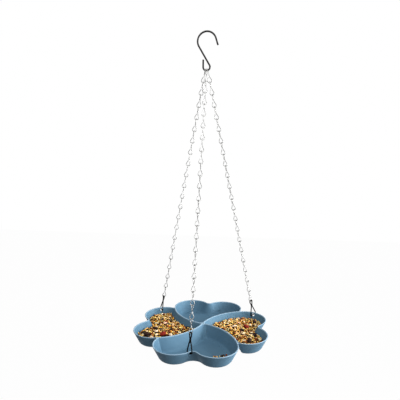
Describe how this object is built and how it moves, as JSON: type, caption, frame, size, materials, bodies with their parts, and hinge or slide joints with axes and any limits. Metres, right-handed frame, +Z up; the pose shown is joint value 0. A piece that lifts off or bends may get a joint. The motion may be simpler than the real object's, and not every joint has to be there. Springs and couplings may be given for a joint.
{
  "type": "hanging bird feeder",
  "caption": "Shallow clover-shaped plastic dish with heart-shaped bowls for bird seed, hung on jack chains from an S-hook that goes over a branch or a bracket",
  "frame": {"origin": "the inside of the hook's crook at its top, where it bears on what holds the feeder up", "axes": "+Z up, +X toward the right bowl and across the hook's plane, -Y toward the front bowl"},
  "size_m": [0.2754, 0.2754, 0.6262],
  "materials": {
    "hook": "dark gunmetal, satin",
    "chain": "bright zinc-plated wire",
    "end_ring": "dark wire, satin",
    "dish": "dusty blue, moulded, matte",
    "seed_mix": "loose dry seed mix, matte"
  },
  "bodies": {
    "hook": {"s_hook": "hook"},
    "top_links": {"front_chain_link_01": "chain", "left_chain_link_01": "chain", "right_chain_link_01": "chain"},
    "hanging_dish": {"front_chain_link_02": "chain", "front_chain_link_03": "chain", "front_chain_link_04": "chain", "front_chain_link_05": "chain", "front_chain_link_06": "chain", "front_chain_link_07": "chain", "front_chain_link_08": "chain", "front_chain_link_09": "chain", "front_chain_link_10": "chain", "front_chain_link_11": "chain", "front_chain_link_12": "chain", "front_chain_link_13": "chain", "front_chain_links_14_15": "chain", "front_chain_links_16_17": "chain", "front_chain_links_18_19": "chain", "front_chain_links_20_21": "chain", "front_end_ring": "end_ring", "left_chain_link_02": "chain", "left_chain_link_03": "chain", "left_chain_link_04": "chain", "left_chain_link_05": "chain", "left_chain_link_06": "chain", "left_chain_link_07": "chain", "left_chain_link_08": "chain", "left_chain_link_09": "chain", "left_chain_link_10": "chain", "left_chain_link_11": "chain", "left_chain_link_12": "chain", "left_chain_link_13": "chain", "left_chain_links_14_15": "chain", "left_chain_links_16_17": "chain", "left_chain_links_18_19": "chain", "left_chain_links_20_21": "chain", "left_end_ring": "end_ring", "right_chain_link_02": "chain", "right_chain_link_03": "chain", "right_chain_link_04": "chain", "right_chain_link_05": "chain", "right_chain_link_06": "chain", "right_chain_link_07": "chain", "right_chain_link_08": "chain", "right_chain_link_09": "chain", "right_chain_link_10": "chain", "right_chain_link_11": "chain", "right_chain_link_12": "chain", "right_chain_link_13": "chain", "right_chain_links_14_15": "chain", "right_chain_links_16_17": "chain", "right_chain_links_18_19": "chain", "right_chain_links_20_21": "chain", "right_end_ring": "end_ring", "clover_dish": "dish", "left_seed_bed": "seed_mix", "right_seed_bed": "seed_mix"}
  },
  "joints": [
    {"name": "swing_on_hook", "type": "hinge", "parent": "hook", "child": "top_links", "pos_m": [0, 0, -0.0723], "axis": [1, 0, 0], "range_deg": [-60, 60]},
    {"name": "twist_below_hook", "type": "hinge", "parent": "top_links", "child": "hanging_dish", "pos_m": [0, 0, -0.0723], "axis": [0, 0, 1], "range_deg": [-10, 10]}
  ]
}
